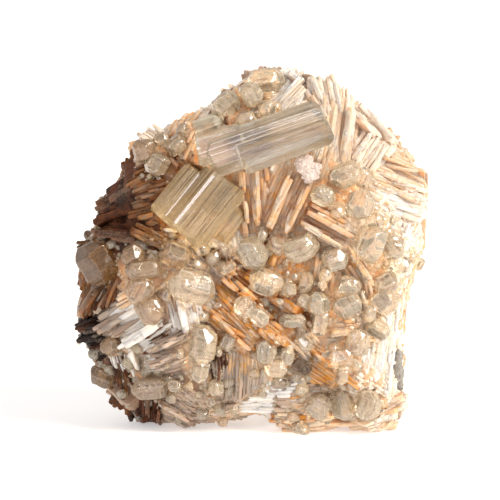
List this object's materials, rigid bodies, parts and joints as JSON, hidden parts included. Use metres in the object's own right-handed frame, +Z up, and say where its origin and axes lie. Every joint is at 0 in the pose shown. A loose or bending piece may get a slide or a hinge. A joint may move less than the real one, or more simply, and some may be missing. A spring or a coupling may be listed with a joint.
{
  "type": "mineral specimen",
  "caption": "Clear to honey cerussite crystals and two large striated prisms on a matrix of bladed cream and amber baryte, standing on a trimmed base.",
  "frame": {"origin": "middle of the trimmed base, on the surface that the specimen stands on", "axes": "+Z up, the show face with the crystals looks towards -Y, +X to the viewer's right"},
  "size_m": [0.0636, 0.0424, 0.0655],
  "materials": {
    "baryte": "bladed, satin, iron-stained in the gaps",
    "cerussite": "clear, glassy to adamantine",
    "white_crust": "sugary",
    "lead_ore": "grey, metallic sheen"
  },
  "bodies": {
    "root": {"baryte_matrix": "baryte", "striated_prism": "cerussite", "long_prism": "cerussite", "white_crust": "white_crust", "ore_streak": "lead_ore", "ore_grain": "lead_ore", "cerussite_01": "cerussite", "cerussite_02": "cerussite", "cerussite_03": "cerussite", "cerussite_04": "cerussite", "cerussite_05": "cerussite", "cerussite_06": "cerussite", "cerussite_07": "cerussite", "cerussite_08": "cerussite", "cerussite_09": "cerussite", "cerussite_10": "cerussite", "cerussite_11": "cerussite", "cerussite_12": "cerussite", "cerussite_13": "cerussite", "cerussite_14": "cerussite", "cerussite_15": "cerussite", "cerussite_16": "cerussite", "cerussite_17": "cerussite", "cerussite_18": "cerussite", "cerussite_19": "cerussite", "cerussite_20": "cerussite", "cerussite_21": "cerussite", "cerussite_22": "cerussite", "cerussite_23": "cerussite", "cerussite_24": "cerussite", "cerussite_25": "cerussite", "cerussite_26": "cerussite", "cerussite_27": "cerussite", "cerussite_28": "cerussite", "cerussite_29": "cerussite", "cerussite_30": "cerussite", "cerussite_31": "cerussite", "cerussite_32": "cerussite", "cerussite_33": "cerussite", "cerussite_34": "cerussite", "cerussite_35": "cerussite", "cerussite_36": "cerussite", "cerussite_37": "cerussite", "cerussite_38": "cerussite", "cerussite_39": "cerussite", "cerussite_40": "cerussite"}
  },
  "joints": []
}
